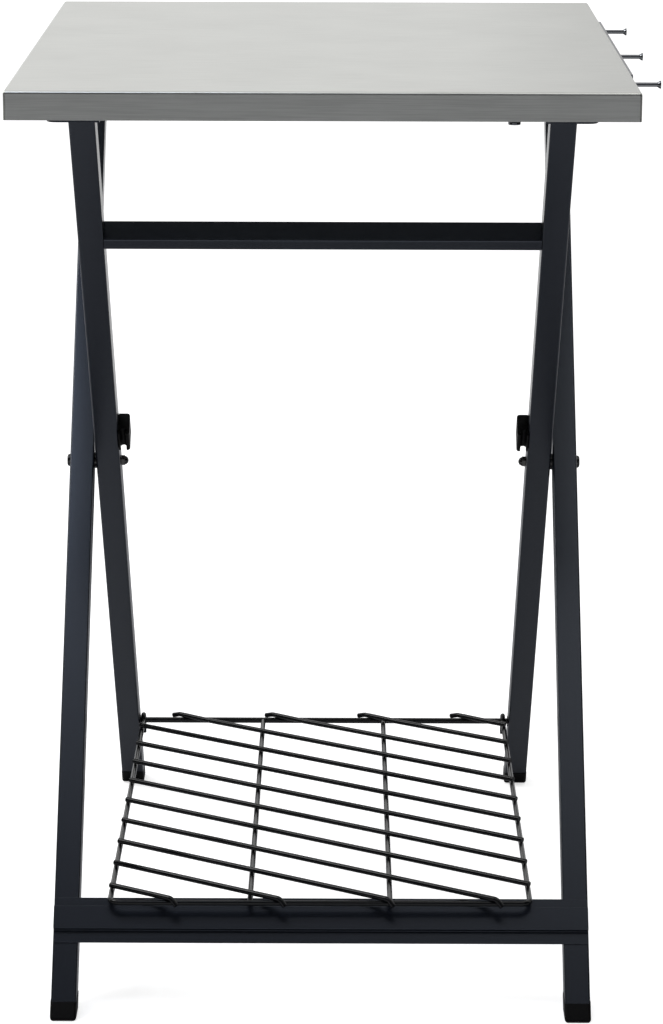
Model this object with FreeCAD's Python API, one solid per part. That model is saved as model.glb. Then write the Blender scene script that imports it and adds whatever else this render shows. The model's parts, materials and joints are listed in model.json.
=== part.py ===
import FreeCAD, Part
import os
from math import sin, cos, tan, sqrt, asin, atan, degrees, radians, hypot
from FreeCAD import Vector as V, Placement, Rotation

# Folding pizza oven table, millimetres.
# Modelled with Z = 0 on the floor and written with the origin at the centre of the worktop's upper face.
# +X is the table's right as seen from the front, +Y points to its rear, +Z is up.

# Overall sizes
TOP_W = 600.0
TOP_D = 800.0
TOP_H = 920.0
SHEET = 1.5
SKIRT = 27.5
LIP = 5.0
TOP_CORNER_R = 3.0
TOP_EDGE_R = 2.0

# Legs, 1 inch square tube; their places follow the worktop's edges
TUBE = 25.4
TUBE_WALL = 1.5
TUBE_R = 1.5
SIDE_INSET = 31.15
LEG_GAP = 2.6
FRONT_FOOT_OUT = 31.5
REAR_FOOT_IN = 57.5
LEG_TOP_IN = 0.8
OUTER_HALF = TOP_W / 2 - SIDE_INSET
INNER_HALF = OUTER_HALF - TUBE - LEG_GAP
OUTER_FRONT_Y = -TOP_D / 2 - FRONT_FOOT_OUT
INNER_FOOT_Y = TOP_D / 2 - REAR_FOOT_IN
INNER_FRONT_Y = -TOP_D / 2 + LEG_TOP_IN
LEG_END_Z = 4.0

# Joint hardware
PIN_DROP = 18.5
PIN_D = 6.0
PIN_HOLE_GAP = 0.06
PIN_HEAD_L = 2.5
PIN_TAIL_L = 1.5
INNER_TOP_PAST_PIN = 9.0
BOLT_D = 6.0
BOLT_HEAD_D = 13.2
BOLT_HEAD_L = 3.6
BOLT_HEAD_R = 2.4
SOCKET_AF = 4.0
SOCKET_DEPTH = 1.8
NUT_AF = 10.0
NUT_HEX_L = 3.8
NUT_DOME_D = 9.6
NUT_DOME_L = 4.0
SPACER_D = 17.0
SIDE_GAP = 0.3

# Outer leg tops
CAP_R = 16.8
CAP_HALF = 13.7
CAP_SIDE = 0.9
CAP_SKIRT_L = 12.0
LEG_PAST_CENTRE = 8.0
SEAT_GAP = 0.05
STOP_W = 40.0
STOP_DROP = 20.0
STOP_FOOT = 20.0
STOP_T = 2.0

# Feet
FOOT_H = 16.5
FOOT_PROUD = 0.5
FOOT_R = 2.0

# Brackets under the tray's front
BRACKET_OUT_IN = 9.35
BRACKET_W = 50.0
BRACKET_FRONT_IN = 1.0
BRACKET_L = 64.0
EAR_FRONT = 14.5
EAR_REAR = 15.5
BRACKET_T = 2.0
BRACKET_R = 10.0
EAR_GAP = 0.55

# Crossbars, measured along the legs
BAR_S0 = 209.0
BAR_T = 14.4
BAR_WALL = 1.2
HAT_BOTTOM_S = 82.9
HAT_LOW_S = 96.1
HAT_LEDGE_S = 120.0
HAT_TOP_S = 130.6
HAT_PROUD = 7.0
HAT_T = 1.2
HAT_END_GAP = 0.35

# Shelf and its rod, which sits on the inner legs' centre line
ROD_D = 6.6
ROD_UP = 113.3
COLLAR_D = 12.0
COLLAR_L = 0.8
WIRE_D = 5.5
WELD = 0.03
REST_GAP = 0.3
SHELF_SIDE_GAP = 5.0
SHELF_SHIFT = -1.0
SHELF_REACH = 24.0
HOOK_SLANT = 60.0
HOOK_R = 4.0
HOOK_TAIL = 17.0
CORNER_R = 10.0
SUPPORT_REAR_U = 4.0
DIAG_PITCH = 72.1
DIAG_SLOPE = 0.664
DIAG_FIRST_END = 33.7
DIAG_LAST_ROOM = 30.0
DIAG_PAST_RAIL = 1.5
DIAG_REAR_RUN = 22.0
DIAG_OVER_ROD = 2.5
DIAG_TAIL_U = 7.5
DIAG_TAIL_W = 3.9
DIAG_PAST_FRONT = 3.4
DIAG_DIP_U = 7.2
DIAG_DIP_W = -1.0
DIAG_REAR_R = 8.0
DIAG_DIP_R = 7.0

# Snap clips on the inner legs
CLIP_OVER_PIVOT = 36.2
CLIP_L = 27.4
CLIP_W = 11.9
CLIP_FRONT = -2.5
CLIP_BORE_D = 6.5
CLIP_BORE_DEPTH = 1.5
CLIP_THROAT = 5.1
CLIP_MOUTH = 6.3
CLIP_R = 3.0

# Hook rail on the right-hand skirt
RAIL_PLATE_T = 4.0
RAIL_PLATE_H = 20.0
RAIL_PLATE_DROP = 4.5
RAIL_FRONT_IN = 171.0
RAIL_REAR_IN = 153.0
RAIL_PLATE_R = 4.0
PEG_D = 4.4
PEG_DROP = 15.0
PEG_END_IN = 9.0
PEG_OUT = 32.2
PEG_HEAD_D = 8.0
PEG_FLARE_L = 3.0
PEG_RIM_L = 0.9

# Knob under the front right of the tray
KNOB_SIDE_IN = 119.0
KNOB_FRONT_IN = 20.0
KNOB_DROP = 5.3
KNOB_D = 12.0
KNOB_T = 3.0
KNOB_STEM_D = 6.0

# Places worked out from the sizes above
MID = TUBE / 2
OUTER_IN_X = OUTER_HALF - TUBE
INNER_IN_X = INNER_HALF - TUBE
UNDER_Z = TOP_H - SHEET
SKIRT_Z = TOP_H - SKIRT
A = atan((INNER_FOOT_Y - INNER_FRONT_Y) / TOP_H)
SA = sin(A)
CA = cos(A)
LEAN = degrees(A)
PIN_Z = TOP_H - PIN_DROP
PIVOT_Z = (INNER_FOOT_Y - OUTER_FRONT_Y) / (2 * tan(A))
PIVOT_Y = OUTER_FRONT_Y + MID / CA + PIVOT_Z * tan(A)
PIN_Y = INNER_FOOT_Y + MID / CA - PIN_Z * tan(A)
REST_Y = 2 * PIVOT_Y - PIN_Y
INNER = Placement(V(0, INNER_FRONT_Y, TOP_H), Rotation(V(1, 0, 0), -(90 - LEAN)))
OUTER = Placement(V(0, OUTER_FRONT_Y, 0), Rotation(V(1, 0, 0), 90 - LEAN))
PIVOT_S = (TOP_H - PIVOT_Z + MID * SA) / CA
PIVOT_SO = (PIVOT_Z + MID * SA) / CA
PIN_S = (TOP_H - PIN_Z + MID * SA) / CA
REST_S = (PIN_Z + MID * SA) / CA
LEG_L = TOP_H / CA
ROD_S = LEG_L - ROD_UP
ROD_AT = INNER.multVec(V(0, ROD_S, MID))
CLIP_S0 = PIVOT_S - CLIP_OVER_PIVOT - CLIP_L
RAIL_X = INNER_IN_X - SHELF_SIDE_GAP
EDGE = OUTER.multVec(V(0, HAT_TOP_S, HAT_T)) - ROD_AT
REST_RISE = degrees(asin((WIRE_D / 2 + REST_GAP) / hypot(EDGE.y, EDGE.z)) + atan(-EDGE.z / EDGE.y))
SHELF = Placement(ROD_AT, Rotation(V(1, 0, 0), -REST_RISE))


def box(x0, x1, y0, y1, z0, z1):
    return Part.makeBox(x1 - x0, y1 - y0, z1 - z0, V(x0, y0, z0))


def rod_x(x0, x1, y, z, d):
    return Part.makeCylinder(d / 2, x1 - x0, V(x0, y, z), V(1, 0, 0))


def rod_z(x, y, z0, z1, d):
    return Part.makeCylinder(d / 2, z1 - z0, V(x, y, z0), V(0, 0, 1))


def round_along(shape, axis, radius):
    edges = [e for e in shape.Edges if abs(abs((e.lastVertex().Point - e.firstVertex().Point)
             .normalize().dot(axis)) - 1) < 1e-6]
    return shape.makeFillet(radius, edges)


def placed(shape, frame):
    shape.Placement = frame.multiply(shape.Placement)
    return shape


def mirrored(shape):
    return shape.mirror(V(0, 0, 0), V(1, 0, 0))


def write(name, shape):
    out = shape.copy()
    out.translate(V(0, 0, -TOP_H))
    out.exportStep("parts/" + name + ".step")


def write_pair(name, shape):
    write(name + "_right", shape)
    write(name + "_left", mirrored(shape))


def write_both(name, shape):
    write(name, Part.makeCompound([mirrored(shape), shape]))


def hex_x(x0, x1, y, z, across):
    """Hexagonal prism along X with two flats facing the leg's front and rear."""
    r = across / 3 ** 0.5
    pts = [V(x0, y + r * sin(radians(60 * i)), z + r * cos(radians(60 * i))) for i in range(7)]
    return Part.Face(Part.makePolygon(pts)).extrude(V(x1 - x0, 0, 0))


def bent_wire(points, bends, d=WIRE_D):
    """Round wire along a polyline; bends[i] is the bend radius at points[i + 1]."""
    edges = []
    start = points[0]
    for p, q, r in zip(points[1:-1], points[2:], bends):
        into = (p - start).normalize()
        out = (q - p).normalize()
        half = into.getAngle(out) / 2
        cut = r * tan(half)
        a = p - into * cut
        b = p + out * cut
        mid = p + (out - into).normalize() * (r / cos(half) - r)
        if (a - start).Length > 1e-6:
            edges.append(Part.makeLine(start, a))
        edges.append(Part.Arc(a, mid, b).toShape())
        start = b
    edges.append(Part.makeLine(start, points[-1]))
    path = Part.Wire(edges)
    ring = Part.Wire(Part.makeCircle(d / 2, points[0], points[1] - points[0]))
    return path.makePipeShell([ring], True, False)


# Worktop tray: one folded sheet with a return lip, open underneath
tray = box(-TOP_W / 2, TOP_W / 2, -TOP_D / 2, TOP_D / 2, SKIRT_Z, TOP_H)
tray = round_along(tray, V(0, 0, 1), TOP_CORNER_R)
tray = tray.makeFillet(TOP_EDGE_R, [e for e in tray.Edges if e.BoundBox.ZMin > TOP_H - 0.01])
hollow = box(-TOP_W / 2 + SHEET, TOP_W / 2 - SHEET, -TOP_D / 2 + SHEET, TOP_D / 2 - SHEET,
             SKIRT_Z + SHEET, UNDER_Z)
hollow = round_along(hollow, V(0, 0, 1), SHEET)
mouth = box(-TOP_W / 2 + LIP, TOP_W / 2 - LIP, -TOP_D / 2 + LIP, TOP_D / 2 - LIP,
            SKIRT_Z - 1, SKIRT_Z + SHEET + 1)
tray = tray.cut(hollow).cut(mouth)

# Hook rail and its three pegs
plate_x = TOP_W / 2 + RAIL_PLATE_T
plate_y0 = -TOP_D / 2 + RAIL_FRONT_IN
plate_y1 = TOP_D / 2 - RAIL_REAR_IN
plate_z = TOP_H - RAIL_PLATE_DROP
plate = box(TOP_W / 2, plate_x, plate_y0, plate_y1, plate_z - RAIL_PLATE_H, plate_z)
plate = round_along(plate, V(1, 0, 0), RAIL_PLATE_R)
peg_z = TOP_H - PEG_DROP
rim_x = TOP_W / 2 + PEG_OUT - PEG_RIM_L
pegs = []
for y in (plate_y0 + PEG_END_IN, (plate_y0 + plate_y1) / 2, plate_y1 - PEG_END_IN):
    flare = Part.makeCone(PEG_D / 2, PEG_HEAD_D / 2, PEG_FLARE_L, V(rim_x - PEG_FLARE_L, y, peg_z), V(1, 0, 0))
    rim = rod_x(rim_x, rim_x + PEG_RIM_L, y, peg_z, PEG_HEAD_D)
    pegs.append(rod_x(plate_x, rim_x - PEG_FLARE_L, y, peg_z, PEG_D).fuse([flare, rim]))

# Bracket: slotted base plate under the lip and two ears up to the tray
bracket_x1 = OUTER_HALF - BRACKET_OUT_IN
bracket_x0 = bracket_x1 - BRACKET_W
bracket_y0 = -TOP_D / 2 + BRACKET_FRONT_IN
bracket_y1 = bracket_y0 + BRACKET_L
bracket_z = SKIRT_Z - BRACKET_T
base = box(bracket_x0, bracket_x1, bracket_y0, bracket_y1, bracket_z, SKIRT_Z)
corners = [e for e in base.Edges if abs(e.BoundBox.XMin - bracket_x1) < 0.01 and e.BoundBox.ZLength > 1]
base = base.makeFillet(BRACKET_R, corners)
ear_x0 = INNER_IN_X - EAR_GAP
ear_x1 = INNER_HALF + EAR_GAP
ear_y0 = PIN_Y - EAR_FRONT
ear_y1 = PIN_Y + EAR_REAR
base = base.cut(box(ear_x0, ear_x1, ear_y0, bracket_y1 + 1, bracket_z - 1, SKIRT_Z + 1))
ears = [box(ear_x0 - BRACKET_T, ear_x0, ear_y0, ear_y1, bracket_z, UNDER_Z),
        box(ear_x1, ear_x1 + BRACKET_T, ear_y0, ear_y1, bracket_z, UNDER_Z)]
bracket = base.fuse(ears).removeSplitter()
bracket = bracket.cut(rod_x(bracket_x0 - BRACKET_T, bracket_x1, PIN_Y, PIN_Z, PIN_D))

# Hinge pin with a low head inside and a peened end outside
pin = rod_x(ear_x0 - BRACKET_T, ear_x1 + BRACKET_T, PIN_Y, PIN_Z, PIN_D)
pin = pin.fuse([rod_x(ear_x0 - BRACKET_T - PIN_HEAD_L, ear_x0 - BRACKET_T, PIN_Y, PIN_Z, 1.5 * PIN_D),
                rod_x(ear_x1 + BRACKET_T, ear_x1 + BRACKET_T + PIN_TAIL_L, PIN_Y, PIN_Z, 1.33 * PIN_D)])

# Stop behind each outer leg's top
stop_x = OUTER_HALF - MID
stop_y = REST_Y + CAP_R + SIDE_GAP
stop = box(stop_x - STOP_W / 2, stop_x + STOP_W / 2, stop_y, stop_y + STOP_T, UNDER_Z - STOP_DROP, UNDER_Z)
stop = stop.fuse(box(stop_x - STOP_W / 2, stop_x + STOP_W / 2, stop_y, stop_y + STOP_FOOT,
                     UNDER_Z - STOP_T, UNDER_Z)).removeSplitter()

# Knob under the tray
knob_x = TOP_W / 2 - KNOB_SIDE_IN
knob_y = -TOP_D / 2 + KNOB_FRONT_IN
knob_z = SKIRT_Z - KNOB_DROP
knob = rod_z(knob_x, knob_y, knob_z, knob_z + KNOB_T, KNOB_D)
knob = knob.makeFillet(KNOB_T / 4, [e for e in knob.Edges if e.BoundBox.ZLength < 0.01])
knob = knob.fuse(rod_z(knob_x, knob_y, knob_z + KNOB_T / 2, UNDER_Z, KNOB_STEM_D))


def tube(x0, x1, y0, y1, z0, z1, axis, wall):
    """Square-cut box tube along one axis."""
    outer = round_along(box(x0, x1, y0, y1, z0, z1), axis, TUBE_R)
    gx, gy, gz = [(-wall if a else wall) for a in (axis.x, axis.y, axis.z)]
    return outer.cut(box(x0 + gx, x1 - gx, y0 + gy, y1 - gy, z0 + gz, z1 - gz))


def above(shape, z):
    return shape.cut(box(-TOP_W, TOP_W, -TOP_D, TOP_D, z - TOP_H / 2, z))


def below(shape, z):
    return shape.cut(box(-TOP_W, TOP_W, -TOP_D, TOP_D, z, z + TOP_H / 2))


# Inner leg, from just above the hinge pin down to the rear foot
S_AXIS = V(0, 1, 0)
leg = tube(INNER_IN_X, INNER_HALF, PIN_S - INNER_TOP_PAST_PIN, LEG_L + 4 * TUBE, 0, TUBE, S_AXIS, TUBE_WALL)
leg = leg.cut(rod_x(INNER_IN_X - 1, INNER_HALF + 1, PIN_S, MID, PIN_D + 2 * PIN_HOLE_GAP))
leg = leg.cut(rod_x(INNER_IN_X - 1, INNER_HALF + 1, PIVOT_S, MID, BOLT_D + 2 * PIN_HOLE_GAP))
inner_leg = above(placed(leg, INNER), LEG_END_Z)

# Outer leg, from the front foot up to the cap that carries the tray
leg = tube(OUTER_IN_X, OUTER_HALF, -2 * TUBE, REST_S + LEG_PAST_CENTRE, -TUBE, 0, S_AXIS, TUBE_WALL)
leg = leg.cut(rod_x(OUTER_IN_X - 1, OUTER_HALF + 1, PIVOT_SO, -MID, BOLT_D))
outer_leg = above(placed(leg, OUTER), LEG_END_Z)


def foot_cap(x0, x1, d0, d1, s0, s1, frame):
    """Plastic cup over a leg's foot, cut level with the floor and level at its top."""
    p = FOOT_PROUD
    g = SEAT_GAP
    cup = placed(box(x0 - p, x1 + p, s0, s1, d0 - p, d1 + p), frame)
    cup = below(above(cup, 0), FOOT_H)
    cup = cup.makeFillet(FOOT_R, [e for e in cup.Edges if e.BoundBox.ZMin < 0.01])
    pocket = placed(box(x0 - g, x1 + g, s0 - 1, s1 + 1, d0 - g, d1 + g), frame)
    return cup.cut(above(pocket, LEG_END_Z - g))


rear_foot = foot_cap(INNER_IN_X, INNER_HALF, 0, TUBE, LEG_L - 3 * TUBE, LEG_L + 2 * TUBE, INNER)
front_foot = foot_cap(OUTER_IN_X, OUTER_HALF, -TUBE, 0, -2 * TUBE, 3 * TUBE, OUTER)

# Rounded cap on the outer leg's top; its round is centred as far from the pivot as the hinge pin
x0 = OUTER_IN_X - CAP_SIDE
x1 = OUTER_HALF + CAP_SIDE
cap = box(x0, x1, REST_S - CAP_SKIRT_L, REST_S + 2 * CAP_R, -MID - CAP_HALF, -MID + CAP_HALF)
dome = rod_x(x0, x1, REST_S, -MID, 2 * CAP_R)
dome = dome.fuse(box(x0, x1, REST_S - 3 * CAP_R, REST_S, -MID - CAP_HALF, -MID + CAP_HALF))
cap = cap.common(dome)
cap = cap.cut(box(OUTER_IN_X - SEAT_GAP, OUTER_HALF + SEAT_GAP, REST_S - 2 * CAP_R,
                  REST_S + LEG_PAST_CENTRE + SEAT_GAP, -TUBE - SEAT_GAP, SEAT_GAP))
outer_cap = placed(cap, OUTER)

# Pivot bolt, spacer and cap nut
bolt = rod_x(INNER_IN_X - NUT_HEX_L, OUTER_HALF, PIVOT_SO, -MID, BOLT_D)
head = rod_x(OUTER_HALF, OUTER_HALF + BOLT_HEAD_L, PIVOT_SO, -MID, BOLT_HEAD_D)
head = head.makeFillet(BOLT_HEAD_R, [e for e in head.Edges if e.BoundBox.XMin > OUTER_HALF + BOLT_HEAD_L - 0.01])
head = head.cut(hex_x(OUTER_HALF + BOLT_HEAD_L - SOCKET_DEPTH, OUTER_HALF + BOLT_HEAD_L + 1,
                      PIVOT_SO, -MID, SOCKET_AF))
bolt = placed(bolt.fuse(head), OUTER)
spacer = rod_x(INNER_HALF + SIDE_GAP, OUTER_IN_X, PIVOT_SO, -MID, SPACER_D)
spacer = placed(spacer.cut(rod_x(INNER_HALF, OUTER_IN_X + 1, PIVOT_SO, -MID, BOLT_D)), OUTER)
nut_x1 = INNER_IN_X - SIDE_GAP
nut_x0 = nut_x1 - NUT_HEX_L
nut = hex_x(nut_x0, nut_x1, PIVOT_S, MID, NUT_AF)
dome_r = (NUT_DOME_D ** 2 / 4 + NUT_DOME_L ** 2) / (2 * NUT_DOME_L)
ball = Part.makeSphere(dome_r, V(nut_x0 - NUT_DOME_L + dome_r, PIVOT_S, MID))
ball = ball.common(rod_x(nut_x0 - NUT_DOME_L - 1, nut_x0 + 1, PIVOT_S, MID, NUT_DOME_D))
nut = placed(nut.fuse(ball), INNER)
nut = nut.cut(placed(rod_x(INNER_IN_X - NUT_HEX_L, INNER_IN_X, PIVOT_S, MID, BOLT_D), INNER))

# Upper crossbar between the inner legs
bar = tube(-INNER_IN_X, INNER_IN_X, BAR_S0, BAR_S0 + BAR_T, 0, TUBE, V(1, 0, 0), BAR_WALL)
upper_bar = placed(bar, INNER)

# Front crossbar: folded sheet with a raised middle; the shelf's rails rest on its top edge
hat_half = OUTER_HALF - HAT_END_GAP
hat = [box(-hat_half, hat_half, HAT_BOTTOM_S, HAT_LOW_S + HAT_T, 0, HAT_T),
       box(-hat_half, hat_half, HAT_LOW_S, HAT_LOW_S + HAT_T, 0, HAT_PROUD),
       box(-hat_half, hat_half, HAT_LOW_S, HAT_LEDGE_S, HAT_PROUD - HAT_T, HAT_PROUD),
       box(-hat_half, hat_half, HAT_LEDGE_S - HAT_T, HAT_LEDGE_S, 0, HAT_PROUD),
       box(-hat_half, hat_half, HAT_LEDGE_S - HAT_T, HAT_TOP_S, 0, HAT_T)]
hat = placed(hat[0].fuse(hat[1:]).removeSplitter(), OUTER)

# Rear rod and its collars
rear_rod = rod_x(-INNER_IN_X, INNER_IN_X, ROD_AT.y, ROD_AT.z, ROD_D)
collar = rod_x(INNER_IN_X - COLLAR_L, INNER_IN_X, ROD_AT.y, ROD_AT.z, COLLAR_D)
collar = collar.cut(rod_x(INNER_IN_X - COLLAR_L - 1, INNER_IN_X + 1, ROD_AT.y, ROD_AT.z, ROD_D))

# Snap clip: block on the leg's inner face with a bore and a flared mouth open to the front
clip_x = INNER_IN_X - CLIP_W
clip = box(clip_x, INNER_IN_X, CLIP_S0, CLIP_S0 + CLIP_L, CLIP_FRONT, TUBE)
clip = clip.makeFillet(CLIP_R, [e for e in clip.Edges if e.BoundBox.YLength > 1
                                and abs(e.BoundBox.XMin - clip_x) < 0.01])
bore = Part.makeCylinder(CLIP_BORE_D / 2, CLIP_L + 2, V(RAIL_X, CLIP_S0 - 1, CLIP_BORE_DEPTH), V(0, 1, 0))
mouth = Part.makePolygon([V(RAIL_X - CLIP_THROAT / 2, CLIP_S0 - 1, CLIP_BORE_DEPTH),
                          V(RAIL_X - CLIP_MOUTH / 2, CLIP_S0 - 1, CLIP_FRONT),
                          V(RAIL_X + CLIP_MOUTH / 2, CLIP_S0 - 1, CLIP_FRONT),
                          V(RAIL_X + CLIP_THROAT / 2, CLIP_S0 - 1, CLIP_BORE_DEPTH),
                          V(RAIL_X - CLIP_THROAT / 2, CLIP_S0 - 1, CLIP_BORE_DEPTH)])
mouth = Part.Face(mouth).extrude(V(0, CLIP_L + 2, 0))
clip = placed(clip.cut(bore).cut(mouth), INNER)


def shelf(x, u, w):
    """Point on the shelf: x across, u forward of the rod, w above it."""
    return SHELF.multVec(V(x + SHELF_SHIFT, -u, w))


# Frame wire: a hook over the rod, a rail, the front wire, then the other rail and hook
hump = (ROD_D + WIRE_D) / 2 + REST_GAP
slant = radians(HOOK_SLANT)
front_u = sqrt(EDGE.y ** 2 + EDGE.z ** 2 - (WIRE_D / 2 + REST_GAP) ** 2) + SHELF_REACH


def rail_points(x):
    return [shelf(x, -hump, -HOOK_TAIL), shelf(x, -hump, hump), shelf(x, hump * tan(slant / 2), hump),
            shelf(x, hump / sin(slant), 0), shelf(x, front_u, 0)]


loose = hump - 0.01
bends = [loose, loose, HOOK_R, CORNER_R]
frame_wire = bent_wire(rail_points(-RAIL_X) + rail_points(RAIL_X)[::-1], bends + bends[::-1])

# Two supports under the diagonals, from just ahead of the rod to the front wire
support_x = RAIL_X / 3
supports = []
for x in (-support_x, support_x):
    front_end = shelf(x, front_u - WIRE_D / 2 + WELD, 0)
    supports.append(bent_wire([shelf(x, SUPPORT_REAR_U, 0), front_end], []))

# Diagonals on top of the rails; the rear ones pass over the rod and the front ones dip past the front wire
diag_w = WIRE_D - WELD
diag_half = RAIL_X + DIAG_PAST_RAIL
diag_rise = diag_half * DIAG_SLOPE
diag_first = DIAG_FIRST_END - diag_rise
diag_count = int((front_u - DIAG_LAST_ROOM + diag_rise - diag_first) / DIAG_PITCH) + 1
diagonals = []
for i in range(diag_count):
    u_mid = diag_first + i * DIAG_PITCH

    def on(u, w):
        return shelf((u - u_mid) / DIAG_SLOPE, u, w)

    points = []
    radii = []
    if u_mid - diag_rise < -DIAG_TAIL_U:
        points = [on(-DIAG_TAIL_U, DIAG_TAIL_W), on(-DIAG_OVER_ROD, hump), on(DIAG_OVER_ROD, hump),
                  on(DIAG_REAR_RUN, diag_w)]
        radii = [DIAG_REAR_R, DIAG_REAR_R, DIAG_REAR_R]
    else:
        points = [on(max(u_mid - diag_rise, DIAG_REAR_RUN), diag_w)]
    if u_mid + diag_rise > front_u + DIAG_DIP_U:
        points += [on(front_u + DIAG_PAST_FRONT, diag_w), on(front_u + DIAG_DIP_U, DIAG_DIP_W)]
        radii.append(DIAG_DIP_R)
    else:
        points.append(on(min(u_mid + diag_rise, front_u), diag_w))
    diagonals.append(bent_wire(points, radii))

os.makedirs("parts", exist_ok=True)
write("worktop_tray", tray)
write("hook_rail", plate)
write("hook_pegs", Part.makeCompound(pegs))
write_pair("leg_bracket", bracket)
write_both("top_hinge_pins", pin)
write_pair("rear_stop", stop)
write("underside_knob", knob)
write_pair("inner_leg", inner_leg)
write("upper_crossbar", upper_bar)
write("rear_rod", rear_rod)
write_both("rod_collars", collar)
write_pair("shelf_clip", clip)
write_pair("rear_foot_cap", rear_foot)
write_pair("outer_leg", outer_leg)
write("front_crossbar", hat)
write_pair("front_foot_cap", front_foot)
write_pair("outer_top_cap", outer_cap)
write_both("pivot_bolts", bolt)
write_both("pivot_spacers", spacer)
write_both("pivot_cap_nuts", nut)
write("shelf_frame_wire", frame_wire)
write("shelf_support_wires", Part.makeCompound(supports))
write("shelf_diagonal_wires", Part.makeCompound(diagonals))
print("pivot", round(PIVOT_Y, 3), round(PIVOT_Z - TOP_H, 3))
print("hinge pin", round(PIN_Y, 3), round(PIN_Z - TOP_H, 3))
print("rod", round(ROD_AT.y, 3), round(ROD_AT.z - TOP_H, 3), "front wire", front_u)
print("lean", LEAN, "shelf rise", REST_RISE, "diagonals", diag_count)
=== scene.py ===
import json
import math
import bpy
import bmesh
from mathutils import Matrix, Vector


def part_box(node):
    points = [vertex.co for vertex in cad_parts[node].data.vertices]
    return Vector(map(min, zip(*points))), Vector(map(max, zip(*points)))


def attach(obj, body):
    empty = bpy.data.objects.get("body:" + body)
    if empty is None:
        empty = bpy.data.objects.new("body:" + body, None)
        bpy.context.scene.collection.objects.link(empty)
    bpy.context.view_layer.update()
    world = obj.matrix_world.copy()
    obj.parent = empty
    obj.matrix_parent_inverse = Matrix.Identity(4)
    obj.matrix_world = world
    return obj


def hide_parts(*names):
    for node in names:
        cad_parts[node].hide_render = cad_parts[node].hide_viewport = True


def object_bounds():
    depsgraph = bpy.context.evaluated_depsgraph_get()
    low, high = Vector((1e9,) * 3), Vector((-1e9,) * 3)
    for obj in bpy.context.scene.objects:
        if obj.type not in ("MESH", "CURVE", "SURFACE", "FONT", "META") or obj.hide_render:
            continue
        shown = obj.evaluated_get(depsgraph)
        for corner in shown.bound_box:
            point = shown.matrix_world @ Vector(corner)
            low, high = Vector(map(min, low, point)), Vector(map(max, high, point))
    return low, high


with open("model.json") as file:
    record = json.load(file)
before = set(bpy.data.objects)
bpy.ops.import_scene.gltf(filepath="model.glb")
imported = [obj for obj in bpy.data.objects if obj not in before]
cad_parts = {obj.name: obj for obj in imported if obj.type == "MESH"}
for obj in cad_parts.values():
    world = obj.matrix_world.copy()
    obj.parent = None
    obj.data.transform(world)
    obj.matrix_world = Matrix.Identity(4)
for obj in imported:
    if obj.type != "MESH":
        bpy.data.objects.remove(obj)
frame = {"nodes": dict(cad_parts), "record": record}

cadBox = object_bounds()
nodes = frame["nodes"]
record = frame["record"]
slotOf = {part["node"]: part["material_slot"] for part in record["subparts"]}
bodyOf = {node: body for body, group in record["behaviour"]["bodies"].items() for node in group}
jointAt = {joint["name"]: Vector(joint["pos_m"]) for joint in record["behaviour"]["joints"]}
floorZ = cadBox[0][2]
white = (1, 1, 1, 1)


# Node and material helpers
def linear(hexColour):
    parts = [int(hexColour[i:i + 2], 16) / 255 for i in (1, 3, 5)]
    return [c / 12.92 if c < 0.04045 else ((c + 0.055) / 1.055) ** 2.4 for c in parts] + [1.0]


def addNode(tree, kind, settings=None, links=None):
    node = tree.nodes.new(kind)
    for key, value in (settings or {}).items():
        if isinstance(key, str) and hasattr(node, key):
            setattr(node, key, value)
        else:
            node.inputs[key].default_value = value
    for key, socket in (links or {}).items():
        tree.links.new(socket, node.inputs[key])
    return node


def newMaterial(name, colour, metallic, roughness, extra=None):
    mat = bpy.data.materials.new(name)
    mat.use_nodes = True
    shader = mat.node_tree.nodes["Principled BSDF"]
    shader.inputs["Base Color"].default_value = linear(colour)
    shader.inputs["Metallic"].default_value = metallic
    shader.inputs["Roughness"].default_value = roughness
    for key, value in (extra or {}).items():
        shader.inputs[key].default_value = value
    return mat, mat.node_tree, shader


# Brushed 304 stainless sheet: long faint lines along X, a soft reflection and slight blotches.
# The real lines are under 0.1 mm apart; they are drawn about 1 mm apart so that they show.
steelSet = {"pale": "#c2c3be", "dark": "#b4b5b0", "darkUpTo": 0.36, "paleFrom": 0.6, "roughness": 0.3,
            "lineGap": 0.0011, "lineLength": 0.05, "lineDetail": 2.0, "blotch": 0.11, "blotchDetail": 3.0,
            "blotchShare": 0.35, "bump": 0.01, "bumpHeight": 0.001}
brushedStainless, tree, shader = newMaterial("brushedStainless", steelSet["pale"], 1.0, steelSet["roughness"])
place = addNode(tree, "ShaderNodeTexCoord")
stretch = (1 / steelSet["lineLength"], 1 / steelSet["lineGap"], 1 / steelSet["lineGap"])
along = addNode(tree, "ShaderNodeMapping", {"Scale": stretch}, {"Vector": place.outputs["Object"]})
lines = addNode(tree, "ShaderNodeTexNoise", {"Scale": 1.0, "Detail": steelSet["lineDetail"]},
                {"Vector": along.outputs["Vector"]})
blotch = addNode(tree, "ShaderNodeTexNoise",
                 {"Scale": 1 / steelSet["blotch"], "Detail": steelSet["blotchDetail"]},
                 {"Vector": place.outputs["Object"]})
tone = addNode(tree, "ShaderNodeMix", {"data_type": "FLOAT", "Factor": steelSet["blotchShare"]},
               {"A": lines.outputs["Fac"], "B": blotch.outputs["Fac"]})
shade = addNode(tree, "ShaderNodeValToRGB", {}, {"Fac": tone.outputs["Result"]})
shade.color_ramp.elements[0].position = steelSet["darkUpTo"]
shade.color_ramp.elements[0].color = linear(steelSet["dark"])
shade.color_ramp.elements[1].position = steelSet["paleFrom"]
shade.color_ramp.elements[1].color = linear(steelSet["pale"])
tree.links.new(shade.outputs["Color"], shader.inputs["Base Color"])
grain = addNode(tree, "ShaderNodeBump", {"Strength": steelSet["bump"], "Distance": steelSet["bumpHeight"]},
                {"Height": lines.outputs["Fac"]})
tree.links.new(grain.outputs["Normal"], shader.inputs["Normal"])

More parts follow.
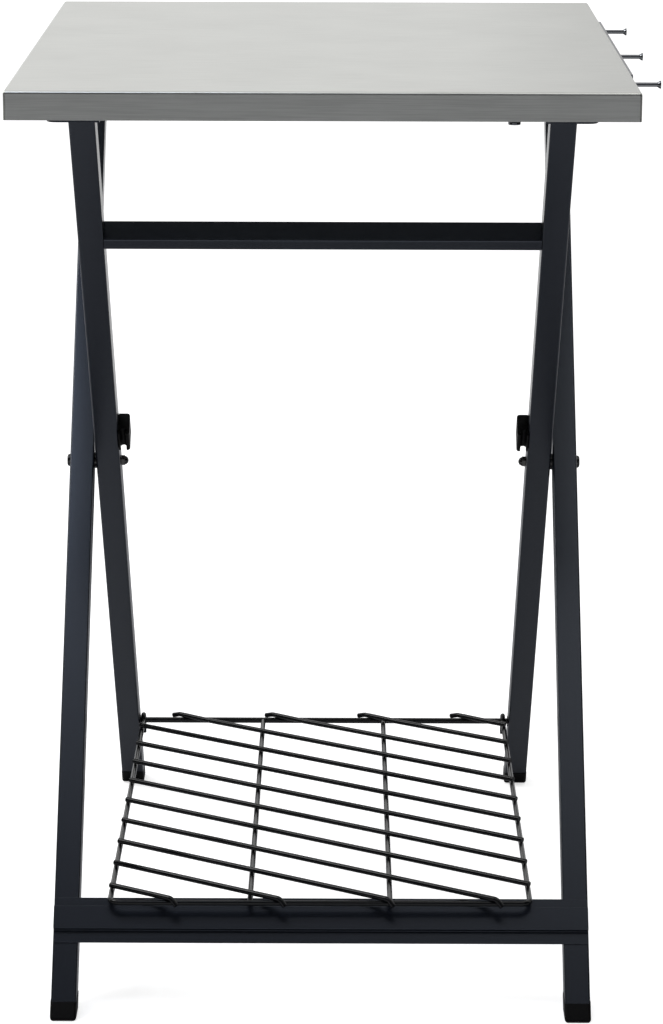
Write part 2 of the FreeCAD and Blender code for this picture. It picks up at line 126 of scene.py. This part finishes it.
# Polished steel: clear dark and bright reflections. Its colour is darker than stainless: a painted dark
# reflection standing in for the dark surroundings that the polished parts mirror
polishedSet = {"colour": "#6f7174", "roughness": 0.09}
polishedStainless = newMaterial("polishedStainless", polishedSet["colour"], 1.0, polishedSet["roughness"])[0]

# Satin powder coat over steel: near black with a soft sheen that turns pale at a low angle.
# The film's orange peel has waves of about 1.5 mm.
coatSet = {"colour": "#080b12", "sheen": "#e2ebfb", "roughness": 0.26, "ior": 1.6, "peel": 0.0015,
           "peelDetail": 1.0, "bump": 0.02, "bumpHeight": 0.0002}
coatSheen = {"IOR": coatSet["ior"], "Specular Tint": linear(coatSet["sheen"])}
blackPowderCoat, tree, shader = newMaterial("blackPowderCoat", coatSet["colour"], 0.0, coatSet["roughness"],
                                            coatSheen)
place = addNode(tree, "ShaderNodeTexCoord")
peel = addNode(tree, "ShaderNodeTexNoise", {"Scale": 1 / coatSet["peel"], "Detail": coatSet["peelDetail"]},
               {"Vector": place.outputs["Object"]})
skin = addNode(tree, "ShaderNodeBump", {"Strength": coatSet["bump"], "Distance": coatSet["bumpHeight"]},
               {"Height": peel.outputs["Fac"]})
tree.links.new(skin.outputs["Normal"], shader.inputs["Normal"])


def plainFinish(name, finish):
    return newMaterial(name, finish["colour"], 0.0, finish["roughness"], {"IOR": finish["ior"]})[0]


# Black oxide on screws and rod: darker and tighter highlights than the coat
oxideSet = {"colour": "#08090b", "roughness": 0.2, "ior": 1.45}
blackOxide = plainFinish("blackOxideSteel", oxideSet)

# Moulded black nylon: dull black with a faint grey sheen
nylonSet = {"colour": "#040405", "roughness": 0.45, "ior": 1.22}
blackPlastic = plainFinish("blackNylon", nylonSet)

# Coated shelf wire: black with a soft bright line along its top
wireSet = {"colour": "#050608", "roughness": 0.22, "ior": 1.33}
blackWire = plainFinish("blackCoatedWire", wireSet)

slotMaterial = {"brushed_stainless": brushedStainless, "polished_stainless": polishedStainless,
                "black_powder_coat": blackPowderCoat, "black_fastener": blackOxide,
                "black_plastic": blackPlastic, "black_coated_wire": blackWire}
for node, slot in slotOf.items():
    nodes[node].data.materials.clear()
    nodes[node].data.materials.append(slotMaterial[slot])
print("materials made for", len(slotMaterial), "finishes")


# Mesh helpers, with the angles and distances that they tell edges and places apart by
creaseAngle = math.radians(32)
flatAngle = math.radians(0.4)
rimAngle = math.radians(60)
alongDot = 0.999
facing = 0.5
mergeDist = 1e-6
near = 1e-5
brokenEdgeSteps = 2


def addPiece(name, bm, *stoodFor):
    # The piece takes its finish and body from the first node that it stands for
    first = stoodFor[0]
    for face in bm.faces:
        face.smooth = True
    for edge in bm.edges:
        edge.smooth = edge.calc_face_angle(0.0) < creaseAngle
    mesh = bpy.data.meshes.new(name)
    bm.to_mesh(mesh)
    bm.free()
    mesh.materials.append(slotMaterial[slotOf[first]])
    obj = bpy.data.objects.new(name, mesh)
    bpy.context.scene.collection.objects.link(obj)
    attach(obj, bodyOf[first])
    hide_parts(*stoodFor)
    return obj


def flatNormals(obj):
    # Keeps large faces flat beside small rounds
    weighted = obj.modifiers.new("flatFaces", "WEIGHTED_NORMAL")
    weighted.keep_sharp = True


def boxMesh(low, high):
    bm = bmesh.new()
    bmesh.ops.create_cube(bm, size=1.0)
    bmesh.ops.scale(bm, vec=Vector(high) - Vector(low), verts=bm.verts)
    bmesh.ops.translate(bm, vec=(Vector(high) + Vector(low)) / 2, verts=bm.verts)
    return bm


def edgesAlong(bm, axis):
    axis = Vector(axis)
    return [e for e in bm.edges if abs((e.verts[1].co - e.verts[0].co).normalized().dot(axis)) > alongDot]


def roundEdges(bm, edges, radius, segments, measure="OFFSET"):
    bmesh.ops.bevel(bm, geom=edges, offset=radius, offset_type=measure, segments=segments, profile=0.5,
                    affect="EDGES", material=-1)


def sinkFace(bm, face, rise, spread=(1.0, 1.0, 1.0), middle=Vector()):
    # Extrudes a face by rise, widens it about the middle and takes the old face away
    made = bmesh.ops.extrude_face_region(bm, geom=[face])["geom"]
    bmesh.ops.delete(bm, geom=[face], context="FACES_ONLY")
    verts = [g for g in made if isinstance(g, bmesh.types.BMVert)]
    bmesh.ops.translate(bm, vec=(0, 0, rise), verts=verts)
    bmesh.ops.scale(bm, vec=spread, verts=verts, space=Matrix.Translation(-middle))
    return [g for g in made if isinstance(g, bmesh.types.BMFace)][0]


def softened(node, radius):
    # A merged copy of a node with flat faces joined, and its edges broken by a small round
    bm = bmesh.new()
    bm.from_mesh(nodes[node].data)
    bmesh.ops.remove_doubles(bm, verts=bm.verts, dist=mergeDist)
    bmesh.ops.dissolve_limit(bm, angle_limit=flatAngle, verts=bm.verts, edges=bm.edges)
    first, *others = node.split("_")
    obj = addPiece(first + "".join(word.title() for word in others), bm, node)
    if radius:
        bevel = obj.modifiers.new("brokenEdges", "BEVEL")
        bevel.width = radius
        bevel.segments = brokenEdgeSteps
        bevel.limit_method = "ANGLE"
        bevel.angle_limit = creaseAngle
        flatNormals(obj)


# Worktop tray
traySet = {"sheet": 0.0015, "lip": 0.005, "cornerR": 0.003, "cornerSteps": 6, "edgeR": 0.003,
           "edgeSteps": 5}
low, high = (Vector(c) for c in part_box("worktop_tray"))
bm = boxMesh(low, high)
under = min(bm.faces, key=lambda f: f.calc_center_median().z)
bmesh.ops.inset_region(bm, faces=[under], thickness=traySet["lip"], use_even_offset=True)
middle = Vector(((low.x + high.x) / 2, (low.y + high.y) / 2, 0))
halfX = (high.x - low.x) / 2
halfY = (high.y - low.y) / 2
under = sinkFace(bm, under, traySet["sheet"])
wide = [(half - traySet["sheet"]) / (half - traySet["lip"]) for half in (halfX, halfY)]
under = sinkFace(bm, under, 0.0, (*wide, 1.0), middle)
under = sinkFace(bm, under, high.z - low.z - 2 * traySet["sheet"])
outerCorners = [e for e in edgesAlong(bm, (0, 0, 1)) if abs(e.verts[0].co.x - middle.x) > halfX - near]
roundEdges(bm, outerCorners, traySet["cornerR"], traySet["cornerSteps"])
topEdges = [e for e in bm.edges if min(v.co.z for v in e.verts) > high.z - near]
topRim = [e for e in topEdges if e.calc_face_angle(0.0) > rimAngle]
roundEdges(bm, topRim, traySet["edgeR"], traySet["edgeSteps"])
bmesh.ops.recalc_face_normals(bm, faces=bm.faces)
tray = addPiece("worktopTray", bm, "worktop_tray")
flatNormals(tray)
print("worktop made")

# Legs: round-cornered square tube on centre lines that cross at the pivot
legSet = {"tube": 0.0254, "wall": 0.0015, "cornerR": 0.0018, "cornerSteps": 4, "mouthDepth": 0.0508,
          "outerPast": 0.008, "innerPast": 0.009, "endAboveFloor": 0.004, "footHeight": 0.0165,
          "footProud": 0.0005, "footRoundWidth": 0.0042, "footRoundSteps": 4, "footDepth": 0.06}
pivot = jointAt["leg_fold"]
toHinge = jointAt["worktop_tilt"] - pivot
lean = math.atan2(-toHinge.y, toHinge.z)
upperReach = toHinge.length
lowerReach = (pivot.z - floorZ) / math.cos(lean) + legSet["tube"]


def tiltToLeg(bm, x, side):
    # side 1 leans to the rear going up, -1 to the front
    turn = Matrix.Rotation(-side * lean, 4, "X")
    bmesh.ops.transform(bm, matrix=Matrix.Translation((x, pivot.y, pivot.z)) @ turn, verts=bm.verts)


def cutLevel(bm, z, keepAbove):
    cut = bmesh.ops.bisect_plane(bm, geom=bm.verts[:] + bm.edges[:] + bm.faces[:], plane_co=(0, 0, z),
                                 plane_no=(0, 0, 1), clear_inner=keepAbove, clear_outer=not keepAbove)
    rim = [g for g in cut["geom_cut"] if isinstance(g, bmesh.types.BMEdge)]
    bmesh.ops.holes_fill(bm, edges=rim)


def makeLeg(name, node, side, past):
    low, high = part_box(node)
    half = legSet["tube"] / 2
    bm = boxMesh((-half, -half, -lowerReach), (half, half, upperReach + past))
    roundEdges(bm, edgesAlong(bm, (0, 0, 1)), legSet["cornerR"], legSet["cornerSteps"])
    mouth = max(bm.faces, key=lambda f: f.calc_center_median().z)
    bmesh.ops.inset_region(bm, faces=[mouth], thickness=legSet["wall"], use_even_offset=True)
    sinkFace(bm, mouth, -legSet["mouthDepth"])
    tiltToLeg(bm, (low[0] + high[0]) / 2, side)
    cutLevel(bm, floorZ + legSet["endAboveFloor"], True)
    bmesh.ops.recalc_face_normals(bm, faces=bm.faces)
    flatNormals(addPiece(name, bm, node))


def makeFoot(name, node, side):
    low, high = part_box(node)
    half = legSet["tube"] / 2 + legSet["footProud"]
    bm = boxMesh((-half, -half, -lowerReach - legSet["tube"]),
                 (half, half, -lowerReach + legSet["footDepth"]))
    tiltToLeg(bm, (low[0] + high[0]) / 2, side)
    cutLevel(bm, floorZ, True)
    cutLevel(bm, floorZ + legSet["footHeight"], False)
    bottomEdges = [e for e in bm.edges if min(v.co.z for v in e.verts) < floorZ + near]
    roundEdges(bm, bottomEdges, legSet["footRoundWidth"], legSet["footRoundSteps"], "WIDTH")
    bmesh.ops.recalc_face_normals(bm, faces=bm.faces)
    flatNormals(addPiece(name, bm, node))


for hand in ("left", "right"):
    makeLeg("outerLeg" + hand.title(), "outer_leg_" + hand, 1, legSet["outerPast"])
    makeLeg("innerLeg" + hand.title(), "inner_leg_" + hand, -1, legSet["innerPast"])
    makeFoot("frontFoot" + hand.title(), "front_foot_cap_" + hand, 1)
    makeFoot("rearFoot" + hand.title(), "rear_foot_cap_" + hand, -1)
print("legs and feet made")

# Folded, turned and bent hardware, with the radius that breaks its edges in metres
hardwareSet = {"front_crossbar": 0.0004, "upper_crossbar": 0.0008, "hook_rail": 0.0005,
               "leg_bracket_left": 0.0003, "leg_bracket_right": 0.0003,
               "rear_stop_left": 0.0003, "rear_stop_right": 0.0003,
               "shelf_clip_left": 0.0006, "shelf_clip_right": 0.0006,
               "outer_top_cap_left": 0.0005, "outer_top_cap_right": 0.0005,
               "rod_collars": 0.0001, "pivot_spacers": 0.0002, "pivot_cap_nuts": 0.0003,
               "pivot_bolts": 0.0002, "hook_pegs": 0.0003, "underside_knob": 0.0, "top_hinge_pins": 0.0003,
               "rear_rod": 0.0, "shelf_frame_wire": 0.0, "shelf_support_wires": 0.0,
               "shelf_diagonal_wires": 0.0}
for node, radius in hardwareSet.items():
    softened(node, radius)
print("hardware and shelf made")

# Camera, worked out from the picture's straight edges
camSet = {"place": (0.01687, -3.8622, 0.4461), "pitch": 15.361, "yaw": 0.117, "roll": -0.165,
          "focalPx": 3692.66, "imageH": 1024, "centreRow": 612.2, "sensor": 24.0, "clipEnd": 60}
pitch, yaw, roll = (math.radians(camSet[k]) for k in ("pitch", "yaw", "roll"))
right = Vector((math.cos(yaw), math.sin(yaw), 0))
ahead = Vector((-math.sin(yaw), math.cos(yaw), 0))
upright = Vector((0, 0, 1))
up = upright * math.cos(pitch) + ahead * math.sin(pitch)
look = ahead * math.cos(pitch) - upright * math.sin(pitch)
rolledRight = right * math.cos(roll) - up * math.sin(roll)
rolledUp = right * math.sin(roll) + up * math.cos(roll)
camData = bpy.data.cameras.new("camera")
cam = bpy.data.objects.new("camera", camData)
bpy.context.scene.collection.objects.link(cam)
camData.sensor_fit = "VERTICAL"
camData.sensor_height = camSet["sensor"]
camData.lens = camSet["focalPx"] / camSet["imageH"] * camSet["sensor"]
camData.shift_y = (camSet["centreRow"] - camSet["imageH"] / 2) / camSet["imageH"]
camData.clip_end = camSet["clipEnd"]
camTurn = Matrix((rolledRight, rolledUp, -look)).transposed().to_4x4()
cam.matrix_world = Matrix.Translation(camSet["place"]) @ camTurn
bpy.context.scene.camera = cam

# Studio: pale floor and white surroundings, with cards that only show in reflections
studioSet = {"floor": "#f7f7f7", "floorHalf": 30.0, "floorLift": 0.55, "worldLight": 0.66, "matte": 0.9,
             "cardHalf": 4.0, "cardY": -4.6, "cardTop": 7.1, "cardFade": (-0.6, 2.6), "cardLow": "#b6b7bc",
             "cardHigh": "#1c1e20", "sideCard": "#0a0a0b", "sideCardEnd": 0.8,
             "floorCard": "#babbbe", "floorCards": ((-4.6, -1.6), (-0.7, 3.0)), "floorCardLift": 0.002,
             "boxDepth": 1.0, "backCardY": 2.4, "backCardTop": 5.0, "backFade": (0.2, 0.5),
             "backLight": (1.0, 0.8)}
# Each lamp has its place, its width, its power in watts and its colour
lampSet = {"leftSoftbox": ((-2.4, -0.2, 2.2), 1.4, 45, "#ffffff"),
           "legGlow": ((-0.6, -1.0, 2.4), 0.8, 7.0, "#d8e6ff"),
           "edgeGlow": ((0.8, -0.7, 2.4), 0.6, 3.0, "#ffffff"),
           "rightGlow": ((0.6, -2.0, 2.4), 0.8, 1.0, "#ffffff")}


def stageMesh(name, bm, material):
    mesh = bpy.data.meshes.new(name)
    bm.to_mesh(mesh)
    bm.free()
    mesh.materials.append(material)
    obj = bpy.data.objects.new(name, mesh)
    bpy.context.scene.collection.objects.link(obj)
    return obj


def whiteRays(tree):
    # 1 for rays that show the background directly, in metal or through glass
    path = addNode(tree, "ShaderNodeLightPath")
    seen = addNode(tree, "ShaderNodeMath", {"operation": "MAXIMUM"},
                   {0: path.outputs["Is Camera Ray"], 1: path.outputs["Is Transmission Ray"]})
    seen = addNode(tree, "ShaderNodeMath", {"operation": "MAXIMUM"},
                   {0: seen.outputs[0], 1: path.outputs["Is Glossy Ray"]})
    return seen.outputs[0]


def showOnlyInReflections(card):
    card.visible_camera = False
    card.visible_diffuse = False
    card.visible_shadow = False


floorMat, tree, shader = newMaterial("studioFloor", studioSet["floor"], 0.0, studioSet["matte"],
                                     {"Emission Color": white})
lift = addNode(tree, "ShaderNodeMath", {"operation": "MULTIPLY", 1: studioSet["floorLift"]},
               {0: whiteRays(tree)})
tree.links.new(lift.outputs[0], shader.inputs["Emission Strength"])
bm = bmesh.new()
bmesh.ops.create_grid(bm, x_segments=1, y_segments=1, size=studioSet["floorHalf"])
bmesh.ops.translate(bm, vec=(0, 0, floorZ), verts=bm.verts)
stageMesh("studioFloor", bm, floorMat)

# The upright card stands behind the camera and darkens upwards, with a dark wing at each side
cardY = studioSet["cardY"]
cardHalf = studioSet["cardHalf"]
lowTone, highTone = linear(studioSet["cardLow"]), linear(studioSet["cardHigh"])
cardMat, tree, shader = newMaterial("uprightCard", studioSet["cardLow"], 0.0, studioSet["matte"])
place = addNode(tree, "ShaderNodeTexCoord")
height = addNode(tree, "ShaderNodeSeparateXYZ", {}, {"Vector": place.outputs["Object"]})
fadeRange = dict(zip(("From Min", "From Max"), studioSet["cardFade"]))
fade = addNode(tree, "ShaderNodeMapRange", fadeRange, {"Value": height.outputs["Z"]})
cardTone = addNode(tree, "ShaderNodeMix", {"data_type": "RGBA", 6: lowTone, 7: highTone},
                   {0: fade.outputs["Result"]})
tree.links.new(cardTone.outputs[2], shader.inputs["Base Color"])
bm = boxMesh((-cardHalf, cardY, floorZ), (cardHalf, studioSet["sideCardEnd"], studioSet["cardTop"]))
openFaces = [f for f in bm.faces if abs(f.normal.z) > facing or f.normal.y > facing]
bmesh.ops.delete(bm, geom=openFaces, context="FACES_ONLY")
for face in bm.faces:
    face.material_index = int(abs(face.normal.x) > facing)
card = stageMesh("uprightCard", bm, cardMat)
card.data.materials.append(newMaterial("sideCard", studioSet["sideCard"], 0.0, studioSet["matte"])[0])
showOnlyInReflections(card)

# Floor cards in front of the table and beneath it, each the top of a box
cardMat = newMaterial("floorCard", studioSet["floorCard"], 0.0, studioSet["matte"])[0]
cardZ = floorZ + studioSet["floorCardLift"]
for front, rear in studioSet["floorCards"]:
    bm = boxMesh((-cardHalf, front, cardZ - studioSet["boxDepth"]), (cardHalf, rear, cardZ))
    bmesh.ops.delete(bm, geom=[f for f in bm.faces if f.normal.z < facing], context="FACES_ONLY")
    showOnlyInReflections(stageMesh("floorCard", bm, cardMat))

# The glowing card behind the table, the front of a box and a little darker to the right, is a painted
# reflection: the worktop's top mirrors it, which sets the top's brightness and paints its right part darker
cardMat, tree, shader = newMaterial("backCard", "#000000", 0.0, studioSet["matte"], {"Emission Color": white})
place = addNode(tree, "ShaderNodeTexCoord")
across = addNode(tree, "ShaderNodeSeparateXYZ", {}, {"Vector": place.outputs["Object"]})
fadeRange = dict(zip(("From Min", "From Max", "To Min", "To Max"),
                     studioSet["backFade"] + studioSet["backLight"]))
fade = addNode(tree, "ShaderNodeMapRange", fadeRange, {"Value": across.outputs["X"]})
tree.links.new(fade.outputs["Result"], shader.inputs["Emission Strength"])
backY = studioSet["backCardY"]
bm = boxMesh((-cardHalf, backY, floorZ), (cardHalf, backY + studioSet["boxDepth"], studioSet["backCardTop"]))
bmesh.ops.delete(bm, geom=[f for f in bm.faces if f.normal.y > -facing], context="FACES_ONLY")
showOnlyInReflections(stageMesh("backCard", bm, cardMat))

world = bpy.data.worlds.new("studio")
bpy.context.scene.world = world
world.use_nodes = True
tree = world.node_tree
background = tree.nodes["Background"]
level = addNode(tree, "ShaderNodeMix", {"data_type": "FLOAT", "A": studioSet["worldLight"], "B": 1.0},
                {"Factor": whiteRays(tree)})
background.inputs["Color"].default_value = white
tree.links.new(level.outputs["Result"], background.inputs["Strength"])

for name, (place, size, power, colour) in lampSet.items():
    lampData = bpy.data.lights.new(name, "AREA")
    lampData.size = size
    lampData.energy = power
    lampData.color = linear(colour)[:3]
    lamp = bpy.data.objects.new(name, lampData)
    bpy.context.scene.collection.objects.link(lamp)
    lamp.location = place
    lamp.rotation_euler = (pivot - lamp.location).to_track_quat("-Z", "Y").to_euler()
bpy.context.scene.view_settings.view_transform = "Standard"
print("camera and lights ready")
